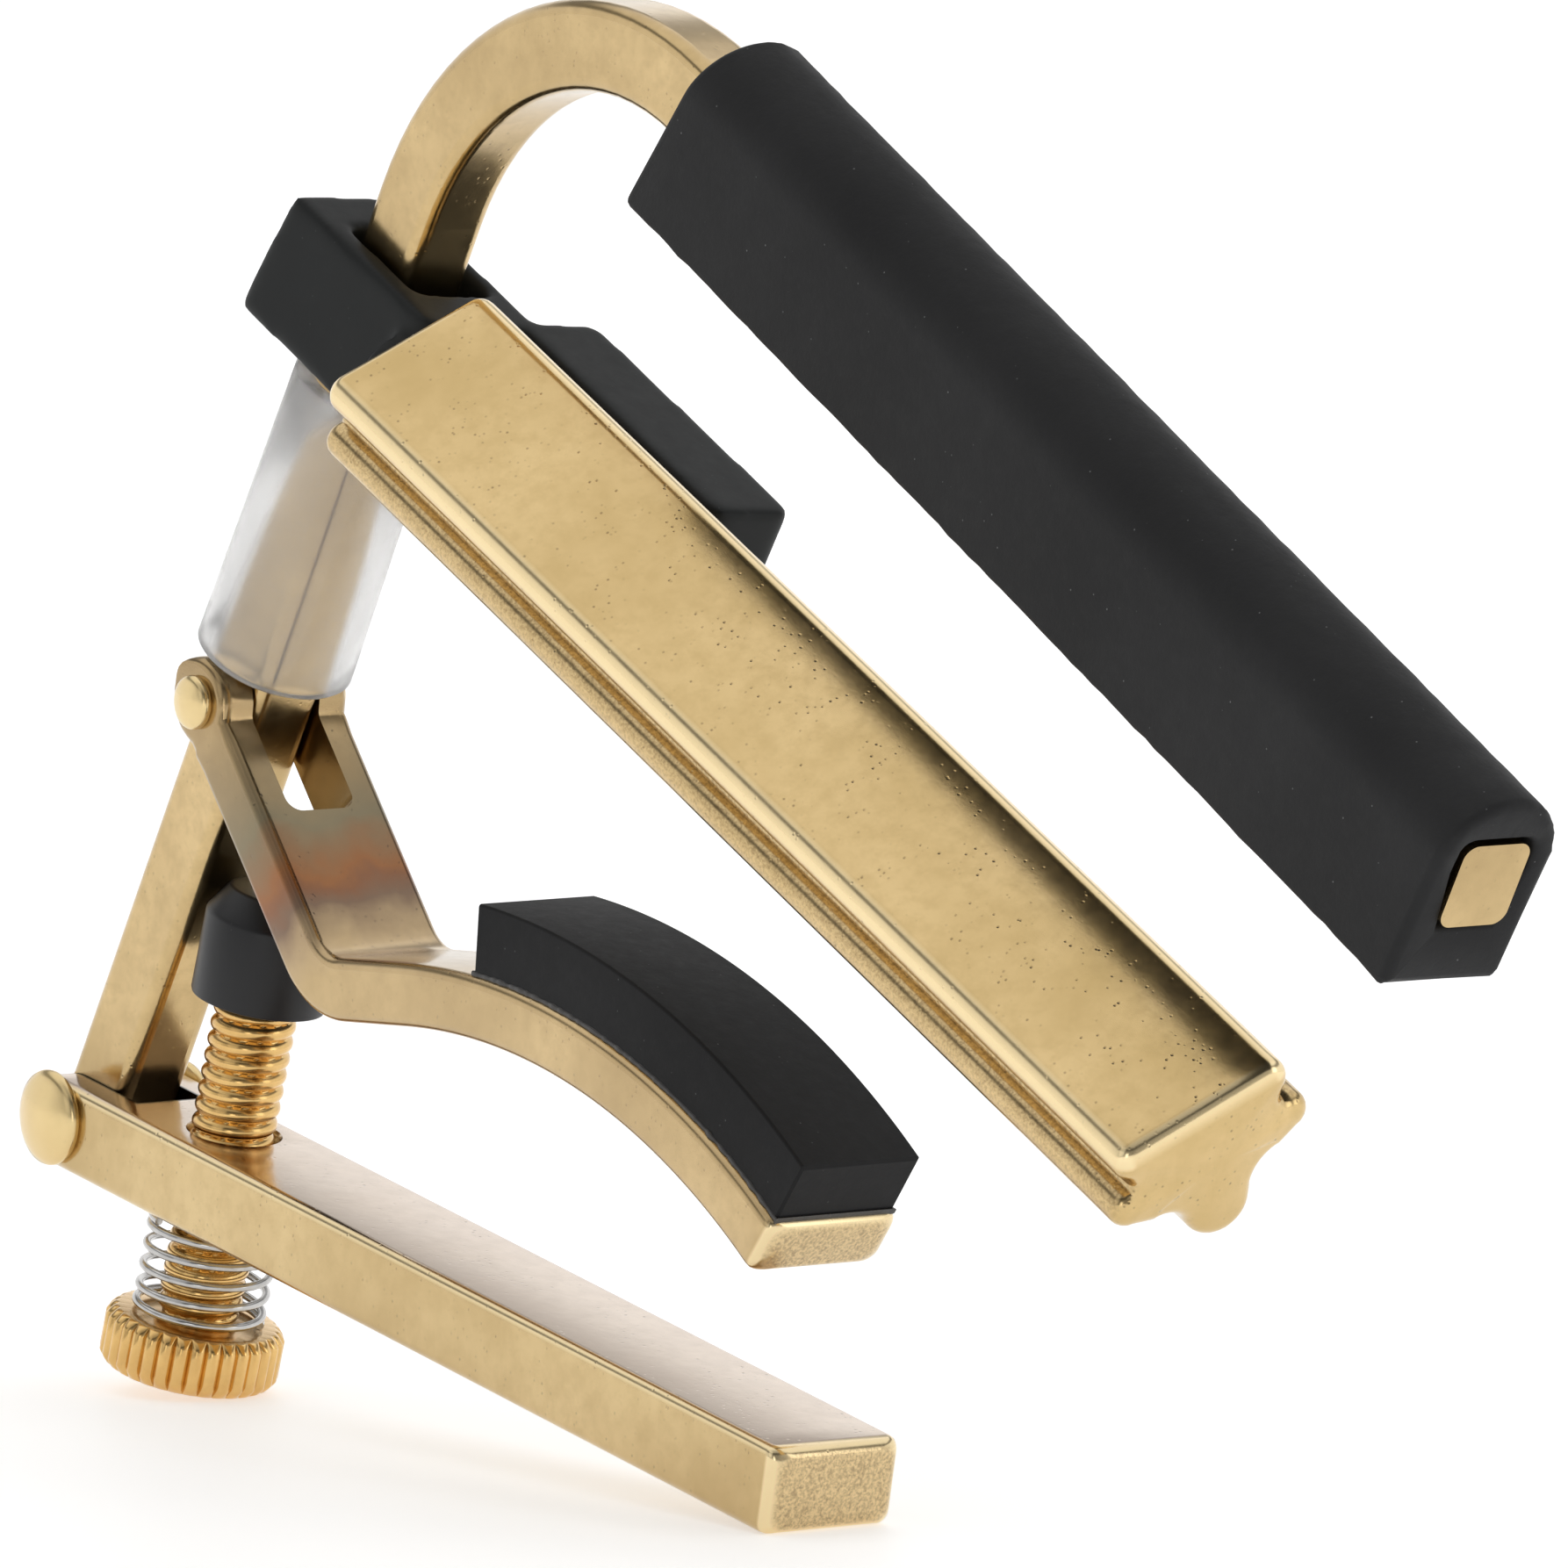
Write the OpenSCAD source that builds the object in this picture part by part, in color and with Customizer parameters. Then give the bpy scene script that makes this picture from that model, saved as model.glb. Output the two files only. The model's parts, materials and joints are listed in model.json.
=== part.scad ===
// Guitar capo for a raised-string resonator or lap guitar, with a folding over-centre clamp lever.
// The part stands on the rim of its knurled head and on the far end of its handle, with +Z up.
// Inside the file everything is drawn in the arm frame: the upper pivot is at the origin, +X runs along the
// straight arm, +Y runs along the pivots and +Z runs up the leg. stand() turns that frame into the part frame.

/* [Main arm] */
// Width of the main arm across the pivots
arm_w = 4.25; // [4:0.05:4.3]
// Thickness of the main arm in the plane of the hook
arm_t = 4.9; // [4.6:0.1:5]
// Rounding of the arm's long edges
arm_edge_r = 0.8; // [0.4:0.1:1]
// Centre-line radius of the hook
hook_r = 18.45; // [17:0.05:19]
// Height of the hook's centre above the upper pivot
leg_h = 31.95; // [31.9:0.05:33]
// Length of the straight arm beyond the hook
arm_run = 73.8; // [66:0.1:78]
// Distance between the two pivots
pivot_gap = 27.6; // [27:0.1:28]

/* [Rubber sleeve] */
// Width of the sleeve
sleeve_w = 7.6; // [7.4:0.1:8.4]
// Height of the sleeve
sleeve_h = 11.4; // [11:0.1:12.5]
// Rubber under the arm
sleeve_under = 3.85; // [3.4:0.05:4.2]
// Slant of the sleeve's end beside the hook, in degrees
sleeve_slant = 11; // [0:1:12]
// Slant of the sleeve's free end, in degrees
sleeve_end_slant = 4; // [0:1:6]
// Play of the arm in the sleeve, all round
sleeve_play = 0.12; // [0.05:0.01:0.2]

/* [Spacer tube] */
// Outer diameter of the tube at its upper end
tube_top_d = 8.3; // [7.8:0.1:8.6]
// Outer diameter of the tube at its lower end
tube_foot_d = 8.8; // [8:0.1:9]
// Bore of the tube
tube_bore_d = 6.1; // [6:0.1:6.6]

/* [Bar carriage] */
// Height of the carriage along the leg
block_h = 7.6; // [7:0.1:8]
// Width of the carriage across the leg
block_w = 7.9; // [7.8:0.1:8.6]
// Height of the carriage's middle above the upper pivot
block_z = 24.85; // [24.8:0.05:25]
// Reach of the carriage's wing along the string bar
wing_reach = 26; // [22:0.5:30]
// Distance from the leg's middle to the outer side of the wing
wing_side = 8; // [7:0.1:9]
// Roll, pitch and yaw of the loose carriage on the leg, in degrees
block_lean = [-5, -1.15, 1.66]; // [-6:0.05:6]

/* [String bar] */
// Length of the string bar
bar_len = 75.6; // [60:0.1:80]
// Roll of the string bar above the carriage, in degrees
bar_roll = 35.8; // [30:0.1:38]
// Gap between the carriage and the end of the string bar
bar_gap = 0.6; // [0.5:0.1:1]
// Radius of the pin on which the string bar rolls
bar_pin_r = 1.1; // [0.9:0.05:1.2]

/* [Clamp lever] */
// Width of the clamp lever and of the handle
lever_w = 8.5; // [8.3:0.1:9]
// Thickness of the clamp lever
lever_t = 3.5; // [3:0.1:3.6]
// Fall of the forked web, in degrees
web_angle = 23.2; // [22:0.1:24]
// Rise of the lever beyond its bend, in degrees
rise_angle = 32; // [30:0.5:33]
// Distance from the upper pivot to the corner of the bend
web_len = 18.1; // [17.8:0.1:19]
// Distance from that corner to the start of the curved part
rise_len = 7.9; // [7:0.1:9]
// Centre-line radius of the bend
bend_r = 4.5; // [4:0.1:5]
// Centre-line radius of the curved part
curve_r = 48.2; // [46:0.1:55]
// Angle that the curved part spans
curve_span = 41.5; // [34:0.5:42]
// Thickness of the rubber pad
pad_t = 3.8; // [3:0.1:4.5]

/* [Handle] */
// Rise of the handle above the arm's direction, in degrees
handle_angle = 17.9; // [17:0.1:18.5]
// Distance from the lower pivot to the handle's free end
handle_len = 67.1; // [60:0.1:75]
// Thickness of the handle
handle_t = 4.87; // [4.6:0.01:5.2]
// Distance from the lower pivot to the screw
screw_at = 10.7; // [10.6:0.1:11.5]
// Lean of the screw's tip towards the far side and away from the leg, in degrees
screw_lean = [-2.4, 2.8]; // [-3:0.1:3]

/* [Thumb screw] */
// Major diameter of the thread
thread_d = 4.7; // [4.2:0.1:4.8]
// Pitch of the thread
thread_pitch = 0.95; // [0.8:0.01:1.25]
// Diameter of the knurled head
head_d = 10; // [9:0.1:11]
// Height of the knurled head
head_h = 3.2; // [2.8:0.1:4]
// Number of grooves round the head
head_grooves = 33; // [24:1:40]
// Gap between the handle and the head, which the spring fills
spring_gap = 5.9; // [5:0.1:8]
// Wire diameter of the spring
wire_d = 0.44; // [0.3:0.02:0.5]
// Diameter of the nylon tip
tip_d = 7.5; // [6.5:0.1:7.6]

/* [Hidden] */
$fn = 64;
RUN = 0.05;
ROUND_R = 0.8;
LEVER_GAP = 0.1;
EPS = 0.01;
// Half the length of a cutter that reaches past the part
OVER = 40;
// Corner radius of the free ends, seen from above
END_R = 0.8;

// Sleeve
arm_z = leg_h + hook_r;
arm_x0 = hook_r;
arm_x1 = hook_r + arm_run;
sleeve_x0 = arm_x0 + 0.05;
sleeve_x1 = arm_x1 + 0.3;
sleeve_z0 = arm_z - arm_t / 2 - sleeve_under;

// Carriage
block_x0 = -6.3;
block_draft = 1.1;
block_x1 = 7.3;
block_y0 = -4.3;
block_edge_r = 1;
wing_x0 = 6.6;
hole_x0 = -3.1;
hole_x1 = 3.9;
hole_w = 5.3;
wing_y0 = 2.4;
lug_r = 2;
lug_x0 = 5.4;
lug_top = 2.4;

// Tube
tube_z0 = 2.75;
tube_z1 = 20.5;

// String bar, in the frame of the carriage
bar_x0 = block_x1 + bar_gap;
bar_y = -4.14;
bar_z = 0.15;
bar_top = 4.4;
bar_pin_in = 8;
pin_x0 = lug_x0 + 0.6;
flange_w = 10.6;
flange_r = 1.1;

// Clamp lever
web_drop = 0.4;
eye_r = 2.5;
fork_w = arm_w + 2 * LEVER_GAP;
fork_end = 8.1;
corner = [web_len * cos(web_angle), -web_drop - web_len * sin(web_angle)];
bend_turn = web_angle + rise_angle;
bend_tangent = bend_r * tan(bend_turn / 2);
curve_start = corner + rise_len * [cos(rise_angle), sin(rise_angle)];
curve_c = curve_start + curve_r * [sin(rise_angle), -cos(rise_angle)];
curve_a1 = 90 + rise_angle;
curve_a0 = curve_a1 - curve_span;
pad_a1 = curve_a1 - 7.5;
pad_a0 = curve_a0 + 0.6;
film_t = 0.1;
pad_w = lever_w - 0.7;

// Handle and screw, in the frame of the handle
handle_drop = 0.28;
handle_top = handle_t / 2 - handle_drop;
handle_foot = -handle_t / 2 - handle_drop;
slot_end = 4.9;
head_top = handle_foot - spring_gap;
head_foot = head_top - head_h;
head_chamfer = 0.45;
tip_z0 = handle_top + 7.65;
tip_rim = tip_z0 + 4.85;
tip_z1 = tip_rim + 1.5;
tip_top_d = 5.2;
spigot_d = 3.2;
spigot_len = 3.4;

// Rivets
upper_shank_r = 1.15;
upper_head_r = 1.5;
upper_rim_h = 0.55;
upper_head_h = 0.85;
lower_shank_r = 1.3;
lower_head_r = 2.65;
lower_rim_h = 0.9;
lower_head_h = 1.1;

// Stance: the floor touches the lowest point of the head's rim and the rounded end of the handle
screw_dir = [cos(screw_lean[0]) * sin(screw_lean[1]), -sin(screw_lean[0]),
    cos(screw_lean[0]) * cos(screw_lean[1])];
head_c = [screw_at, 0, 0] + head_foot * screw_dir;
heel = [handle_len - ROUND_R, handle_foot + ROUND_R];

function part_across(v, dir) = v - (v * dir) * dir;
function rim_low(tilt) = let (g = part_across([-sin(tilt), 0, cos(tilt)], screw_dir))
    head_c - (head_d / 2 - head_chamfer) * g / norm(g);
function tilt_on(p) = let (d = heel - [p[0], p[2]]) atan2(d[1], d[0]) - asin(ROUND_R / norm(d));

floor_angle = tilt_on(rim_low(tilt_on(rim_low(10))));
foot = rim_low(floor_angle);
foot_x = foot[0] * cos(handle_angle) - foot[2] * sin(handle_angle);
foot_z = -pivot_gap + foot[0] * sin(handle_angle) + foot[2] * cos(handle_angle);
stand_tilt = handle_angle + floor_angle;
floor_z = -foot_x * sin(stand_tilt) + foot_z * cos(stand_tilt);

// Middle of the whole part, from its outermost points
function leaned_y(p) = (p[0] * cos(block_lean[1])
    + (p[1] * sin(block_lean[0]) + p[2] * cos(block_lean[0])) * sin(block_lean[1])) * sin(block_lean[2])
    + (p[1] * cos(block_lean[0]) - p[2] * sin(block_lean[0])) * cos(block_lean[2]);
flange_c = [flange_w / 2 - flange_r, bar_top - flange_r];
flange_near = [bar_x0, bar_y - flange_c[0] * cos(bar_roll) - flange_c[1] * sin(bar_roll),
    bar_z - flange_c[0] * sin(bar_roll) + flange_c[1] * cos(bar_roll)];
min_x = -pivot_gap * sin(stand_tilt) - lower_head_r;
max_x = sleeve_x1 * cos(stand_tilt) + (sleeve_z0 + sleeve_h) * sin(stand_tilt);
min_y = leaned_y(flange_near) - flange_r;
max_y = leaned_y([wing_reach - block_edge_r, wing_side - block_edge_r, block_h / 2]) + block_edge_r;

// Frames
module stand() {
    translate([-(min_x + max_x) / 2, -(min_y + max_y) / 2, -floor_z])
        rotate([0, stand_tilt, 0]) children();
}

module in_handle() {
    translate([0, 0, -pivot_gap]) rotate([0, -handle_angle, 0]) children();
}

module in_screw() {
    in_handle() translate([screw_at, 0, 0]) rotate([screw_lean[0], screw_lean[1], 0]) children();
}

module in_carriage() {
    translate([0, 0, block_z]) rotate(block_lean) children();
}

module on_bar_axis() {
    in_carriage() translate([bar_x0, bar_y, bar_z]) children();
}

module in_bar() {
    on_bar_axis() rotate([bar_roll, 0, 0]) children();
}

// Shared shapes
module rounded_rect(size, r) {
    square([size[0] - 2 * r, size[1]], center = true);
    square([size[0], size[1] - 2 * r], center = true);
    for (x = [-1, 1], y = [-1, 1])
        translate([x * (size[0] / 2 - r), y * (size[1] / 2 - r)]) circle(r = r);
}

// A bar of section t by w that runs along +X from x0 to x1
module bar_along_x(t, w, r, x0, x1) {
    translate([x0, 0, 0]) rotate([0, 90, 0]) linear_extrude(x1 - x0) rounded_rect([t, w], r);
}

// A bar of section t by w bent round the point c from angle a0 to angle a1, seen along +Y
module bar_bent(t, w, r, c, radius, a0, a1) {
    translate([c[0], 0, c[1]]) rotate([90, 0, 0]) rotate(a0)
        rotate_extrude(angle = a1 - a0, $fn = 128) translate([radius, 0]) rounded_rect([t, w], r);
}

// A pin along Y, centred on y = 0
module cross_pin(r, w) {
    rotate([90, 0, 0]) cylinder(r = r, h = w, center = true);
}

// A round head with a domed face that stands on the plane y = 0 and rises towards -Y
module dome_head(r, rim_h, h) {
    dome_h = h - rim_h;
    dome_r = (r * r + dome_h * dome_h) / (2 * dome_h);
    rotate([90, 0, 0]) intersection() {
        cylinder(r = r, h = h);
        translate([0, 0, h - dome_r]) sphere(r = dome_r, $fn = 128);
    }
}

module rivet(shank_r, head_r, rim_h, head_h) {
    cross_pin(shank_r, lever_w);
    for (side = [0, 180]) rotate([0, 0, side])
        translate([0, -lever_w / 2, 0]) dome_head(head_r, rim_h, head_h);
}

// Main arm with its sleeve
module main_arm() {
    color("darkgoldenrod") difference() {
        union() {
            translate([0, 0, -pivot_gap]) linear_extrude(pivot_gap + leg_h)
                rounded_rect([arm_t, arm_w], arm_edge_r);
            translate([0, 0, -pivot_gap]) cross_pin(arm_t / 2, arm_w);
            bar_bent(arm_t, arm_w, arm_edge_r, [hook_r, leg_h], hook_r, 90, 180);
            translate([0, 0, arm_z]) bar_along_x(arm_t, arm_w, arm_edge_r, arm_x0, arm_x1);
        }
        cross_pin(upper_shank_r, 2 * arm_w);
        translate([0, 0, -pivot_gap]) cross_pin(lower_shank_r, 2 * arm_w);
    }
}

// Section of the sleeve: flat below, round above. x runs up and y runs across.
module sleeve_section() {
    top_r = sleeve_w / 2;
    translate([0, -top_r]) square([sleeve_h - top_r, sleeve_w]);
    translate([sleeve_h - top_r, 0]) circle(r = top_r);
}

module arm_sleeve() {
    play = 2 * sleeve_play;
    color("dimgray") difference() {
        translate([sleeve_x0, 0, sleeve_z0]) rotate([0, 90, 0]) mirror([1, 0, 0])
            linear_extrude(sleeve_x1 - sleeve_x0) sleeve_section();
        translate([0, 0, arm_z])
            bar_along_x(arm_t + play, arm_w + play, arm_edge_r, arm_x0 - 1, sleeve_x1 + 1);
        translate([sleeve_x0, 0, sleeve_z0]) rotate([0, sleeve_slant, 0])
            translate([-10, -10, -5]) cube([10, 20, 30]);
        translate([sleeve_x1, 0, sleeve_z0 + sleeve_h]) rotate([0, sleeve_end_slant, 0])
            translate([0, -10, -25]) cube([10, 20, 30]);
    }
}

module spacer_tube() {
    color("whitesmoke") translate([0, 0, tube_z0]) difference() {
        cylinder(d1 = tube_foot_d, d2 = tube_top_d, h = tube_z1 - tube_z0);
        translate([0, 0, -1]) cylinder(d = tube_bore_d, h = tube_z1 - tube_z0 + 2);
    }
}

// Carriage: a block round the leg, a wing behind the string bar and a lug for the bar's pin
module block_side() {
    half = block_h / 2;
    polygon([[block_x0 - block_draft, -half], [block_x1, -half], [block_x1, half], [block_x0, half]]);
}

module carriage_block() {
    back = block_x0 - block_draft;
    intersection() {
        rotate([90, 0, 0]) linear_extrude(4 * block_w, center = true) block_side();
        translate([(back + block_x1) / 2, block_y0 + block_w / 2, -block_h])
            linear_extrude(2 * block_h) rounded_rect([block_x1 - back, block_w], block_edge_r);
    }
}

module carriage_wing() {
    wing_w = wing_side - wing_y0;
    root_w = block_y0 + block_w - wing_y0;
    translate([(wing_x0 + wing_reach) / 2, (wing_y0 + wing_side) / 2, -block_h / 2])
        linear_extrude(block_h) rounded_rect([wing_reach - wing_x0, wing_w], block_edge_r);
    translate([block_x1 - 2, wing_y0, -block_h / 2]) cube([4, root_w, block_h]);
}

module carriage_lug() {
    lug_len = block_x1 - lug_x0 - 0.3;
    translate([lug_x0, bar_y, bar_z]) {
        rotate([0, 90, 0]) cylinder(r = lug_r, h = lug_len);
        translate([0, 0, -lug_r]) cube([lug_len, lug_top, 2 * lug_r]);
    }
}

module bar_carriage() {
    color("dimgray") in_carriage() difference() {
        union() {
            carriage_block();
            carriage_wing();
            carriage_lug();
        }
        translate([(hole_x0 + hole_x1) / 2, 0, -block_h]) linear_extrude(2 * block_h)
            rounded_rect([hole_x1 - hole_x0, hole_w], arm_edge_r);
        translate([pin_x0 - 0.2, bar_y, bar_z]) rotate([0, 90, 0])
            cylinder(r = bar_pin_r + RUN, h = bar_x0 - pin_x0 + 1);
    }
}

module bar_pin() {
    tail = bar_x0 - pin_x0;
    color("silver") on_bar_axis() translate([-tail, 0, 0]) rotate([0, 90, 0])
        cylinder(r = bar_pin_r, h = bar_pin_in + tail);
}

// Section of the string bar: a flat flange, a lip under a groove, a flute on each side and a round foot.
// x runs across and y runs up; the origin is bar_top below the flat.
module bar_section() {
    flange_t = 2.3;
    neck_w = 9.6;
    lip_w = 12.2;
    lip_r = 1.1;
    lip_y = -4.15;
    flute_r = 2;
    flute_x = 3.95;
    flute_top = -5.8;
    foot_r = 1.95;
    foot_y = -7.35;
    flute_y = foot_y - 0.4;
    lip_x = lip_w / 2 - lip_r;
    translate([0, bar_top]) difference() {
        union() {
            translate([0, -flange_t / 2]) rounded_rect([flange_w, flange_t], flange_r);
            translate([-neck_w / 2, lip_y]) square([neck_w, -lip_y - 1]);
            translate([0, lip_y]) rounded_rect([lip_w, 2 * lip_r + EPS], lip_r);
            polygon([[lip_x, lip_y], [-lip_x, lip_y], [-lip_x, lip_y - lip_r], [-flute_x, flute_top],
                [-flute_x, foot_y], [flute_x, foot_y], [flute_x, flute_top], [lip_x, lip_y - lip_r]]);
            translate([0, foot_y]) circle(r = foot_r);
        }
        for (side = [-1, 1]) translate([side * flute_x, flute_y]) circle(r = flute_r);
    }
}

module string_bar() {
    color("goldenrod") difference() {
        in_bar() rotate([90, 0, 90]) linear_extrude(bar_len) bar_section();
        on_bar_axis() rotate([0, 90, 0]) cylinder(r = bar_pin_r, h = bar_pin_in);
    }
}

// Clamp lever: forked web, bend, rise and curve in one bar. The straight runs are a hair slimmer than the
// bends that they end in.
module lever_bar(t, w, r) {
    slim = 0.02;
    lap = 0.08;
    run_t = t - slim;
    run_w = w - slim;
    bend_out = corner + bend_tangent * [cos(rise_angle), sin(rise_angle)];
    bend_c = bend_out + bend_r * [-sin(rise_angle), cos(rise_angle)];
    translate([0, 0, -web_drop]) rotate([0, web_angle, 0])
        bar_along_x(run_t, run_w, r, 0, web_len - bend_tangent + lap);
    bar_bent(t, w, r, bend_c, bend_r, -90 - web_angle, -90 + rise_angle);
    translate([bend_out[0], 0, bend_out[1]]) rotate([0, -rise_angle, 0])
        bar_along_x(run_t, run_w, r, -lap, rise_len - bend_tangent + lap);
    bar_bent(t, w, r, curve_c, curve_r, curve_a0, curve_a1);
}

module clamp_lever() {
    end_x = curve_c[0] + (curve_r + lever_t / 2) * cos(curve_a0);
    color("darkgoldenrod") difference() {
        union() {
            intersection() {
                lever_bar(lever_t, lever_w, ROUND_R);
                translate([end_x + EPS - OVER, 0, -OVER]) linear_extrude(2 * OVER)
                    rounded_rect([2 * OVER, lever_w], END_R);
            }
            cross_pin(eye_r, lever_w);
        }
        rotate([0, web_angle, 0]) translate([fork_end - 1 - OVER, -fork_w / 2, -OVER / 4])
            cube([OVER, fork_w, OVER / 2]);
        rotate([0, web_angle, 0]) translate([fork_end - 2, 0, -OVER / 4]) linear_extrude(OVER / 2)
            rounded_rect([4, fork_w], 0.9);
        cross_pin(upper_shank_r + RUN, 2 * lever_w);
    }
}

// A band that lies on the lever's curve between two radii
module curve_band(r0, r1, w, r, a0, a1) {
    bar_bent(r1 - r0, w, r, curve_c, (r0 + r1) / 2, a0, a1);
}

module lever_pad() {
    r0 = curve_r + lever_t / 2 + film_t;
    color("dimgray") curve_band(r0, r0 + pad_t, pad_w, 0.15, pad_a0, pad_a1);
}

module pad_adhesive() {
    r0 = curve_r + lever_t / 2;
    color("black") curve_band(r0, r0 + film_t, pad_w - 0.3, 0.03, pad_a0 + 0.2, pad_a1 - 0.2);
}

module upper_rivet() {
    color("gold") rivet(upper_shank_r, upper_head_r, upper_rim_h, upper_head_h);
}

module lower_rivet() {
    color("gold") translate([0, 0, -pivot_gap]) rivet(lower_shank_r, lower_head_r, lower_rim_h, lower_head_h);
}

// Handle: a bar with a slot for the leg and a tapped hole for the screw
module handle_lever() {
    slot_w = arm_w + 2 * LEVER_GAP;
    mid_z = (handle_top + handle_foot) / 2;
    x0 = -handle_t / 2;
    color("darkgoldenrod") in_handle() difference() {
        intersection() {
            translate([0, 0, mid_z]) bar_along_x(handle_t, lever_w, ROUND_R, x0, handle_len);
            translate([handle_len - OVER, 0, -OVER]) linear_extrude(2 * OVER)
                rounded_rect([2 * OVER, lever_w], END_R);
            union() {
                translate([0, 0, mid_z]) cross_pin(handle_t / 2, 2 * lever_w);
                translate([handle_len / 2, 0, mid_z]) rotate([90, 0, 0])
                    linear_extrude(2 * lever_w, center = true) rounded_rect([handle_len, handle_t], ROUND_R);
            }
        }
        translate([slot_end - OVER, -slot_w / 2, -OVER / 2]) cube([OVER, slot_w, OVER]);
        cross_pin(lower_shank_r + RUN, 2 * lever_w);
        translate([screw_at, 0, 0]) rotate([screw_lean[0], screw_lean[1], 0])
            translate([0, 0, -OVER / 2]) cylinder(d = thread_d + 2 * RUN, h = OVER);
    }
}

// Thumb screw. The shank is drawn at its crest diameter, with a shallow ring for each turn of thread.
module thumb_screw() {
    groove = 0.3;
    bottom = head_foot + 1;
    rings = floor((tip_z0 - RUN - head_top - 0.6) / thread_pitch);
    color("orange") in_screw() difference() {
        union() {
            translate([0, 0, bottom]) cylinder(d = thread_d, h = tip_z0 - RUN - bottom);
            translate([0, 0, tip_z0 - 1]) cylinder(d = spigot_d, h = 1 + spigot_len);
        }
        for (i = [0 : rings - 1]) translate([0, 0, head_top + 0.6 + i * thread_pitch])
            rotate_extrude() polygon([[thread_d / 2 + EPS, 0], [thread_d / 2 - groove, thread_pitch / 2],
                [thread_d / 2 + EPS, thread_pitch * 0.8]]);
    }
}

module knurled_head() {
    r = head_d / 2;
    groove_r = 0.33;
    color("peru") in_screw() translate([0, 0, head_foot]) difference() {
        rotate_extrude() polygon([[0, 0], [r - head_chamfer, 0], [r, head_chamfer],
            [r, head_h - head_chamfer], [r - head_chamfer, head_h], [0, head_h]]);
        translate([0, 0, 1]) cylinder(d = thread_d, h = head_h);
        for (i = [0 : head_grooves - 1]) rotate(i * 360 / head_grooves)
            translate([r + 0.02, 0, -1]) cylinder(r = groove_r, h = head_h + 2, $fn = 16);
    }
}

// Spring: a stack of closed wire rings on one straight wire, in place of a helix. It ends a little below
// the handle, which the screw's lean brings nearer on one side.
module friction_spring() {
    coils = 6;
    mean_r = 3.5;
    slack = 0.3;
    first_z = head_top + wire_d / 2 + EPS;
    stack_h = spring_gap - wire_d - slack;
    color("silver") in_screw() {
        for (i = [0 : coils - 1]) translate([0, 0, first_z + i * stack_h / (coils - 1)])
            rotate_extrude() translate([mean_r, 0]) circle(d = wire_d, $fn = 16);
        translate([mean_r, 0, first_z]) cylinder(d = wire_d * 0.7, h = stack_h);
    }
}

module nylon_tip() {
    r = tip_d / 2;
    color("dimgray") in_screw() translate([0, 0, tip_z0]) difference() {
        rotate_extrude() polygon([[0, 0], [r, 0], [r, tip_rim - tip_z0], [tip_top_d / 2, tip_z1 - tip_z0],
            [0, tip_z1 - tip_z0]]);
        translate([0, 0, -1]) cylinder(d = spigot_d + 2 * RUN, h = 1 + spigot_len + RUN);
    }
}

stand() main_arm();
stand() arm_sleeve();
stand() spacer_tube();
stand() bar_carriage();
stand() bar_pin();
stand() string_bar();
stand() clamp_lever();
stand() lever_pad();
stand() pad_adhesive();
stand() upper_rivet();
stand() lower_rivet();
stand() handle_lever();
stand() thumb_screw();
stand() knurled_head();
stand() friction_spring();
stand() nylon_tip();
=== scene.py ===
"""Looks for the guitar capo: detailed metal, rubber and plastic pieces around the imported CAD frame."""

import json
import math

import bmesh
import bpy
from mathutils import Matrix, Vector, noise


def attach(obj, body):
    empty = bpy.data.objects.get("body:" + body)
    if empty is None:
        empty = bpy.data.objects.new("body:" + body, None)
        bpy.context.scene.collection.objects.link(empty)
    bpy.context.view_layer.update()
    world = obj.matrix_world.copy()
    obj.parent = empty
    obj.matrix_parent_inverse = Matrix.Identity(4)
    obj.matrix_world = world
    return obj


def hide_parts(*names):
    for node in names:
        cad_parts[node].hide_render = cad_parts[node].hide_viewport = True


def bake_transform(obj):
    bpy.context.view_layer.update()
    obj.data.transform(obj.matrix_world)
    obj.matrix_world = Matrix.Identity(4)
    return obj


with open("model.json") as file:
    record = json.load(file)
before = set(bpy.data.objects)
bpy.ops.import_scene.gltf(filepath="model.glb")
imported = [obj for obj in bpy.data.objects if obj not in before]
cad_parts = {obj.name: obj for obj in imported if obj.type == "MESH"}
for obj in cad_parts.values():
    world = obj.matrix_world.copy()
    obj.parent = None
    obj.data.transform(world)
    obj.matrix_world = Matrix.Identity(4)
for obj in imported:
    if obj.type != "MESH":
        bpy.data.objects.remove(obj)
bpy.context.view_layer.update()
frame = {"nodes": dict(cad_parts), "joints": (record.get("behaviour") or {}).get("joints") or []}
MM = 0.001
X, Y, Z = Vector((1, 0, 0)), Vector((0, 1, 0)), Vector((0, 0, 1))

# ---------------------------------------------------------------- frames
# Drawing is in millimetres in the arm frame: upper pivot at the origin, +X along the straight arm,
# +Y along the pivots and +Z up the leg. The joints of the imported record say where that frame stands.
JOINTS = {j["name"]: j for j in frame["joints"]}
UPPER = Vector(JOINTS["clamp_open"]["pos_m"])
LOWER = Vector(JOINTS["handle_swing"]["pos_m"])


def frame_matrix(origin, x, y, z):
    """A matrix from millimetres in the frame with these axes to metres in the part's frame."""
    m = Matrix((x, y, z)).transposed().to_4x4()
    m.translation = origin
    return m @ Matrix.Scale(MM, 4)


def turn(axis, degrees):
    """A rotation about one of a frame's own axes."""
    return Matrix.Rotation(math.radians(degrees), 4, axis)


LEG = (UPPER - LOWER).normalized()
ACROSS = Vector((0, 1, 0))
ARM = frame_matrix(UPPER, ACROSS.cross(LEG), ACROSS, LEG)
PIVOT_GAP = (UPPER - LOWER).length / MM
HANDLE_ANGLE = 17.9
HANDLE_LEN = 67.1
HANDLE = ARM @ Matrix.Translation((0, 0, -PIVOT_GAP)) @ turn("Y", -HANDLE_ANGLE)

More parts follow.
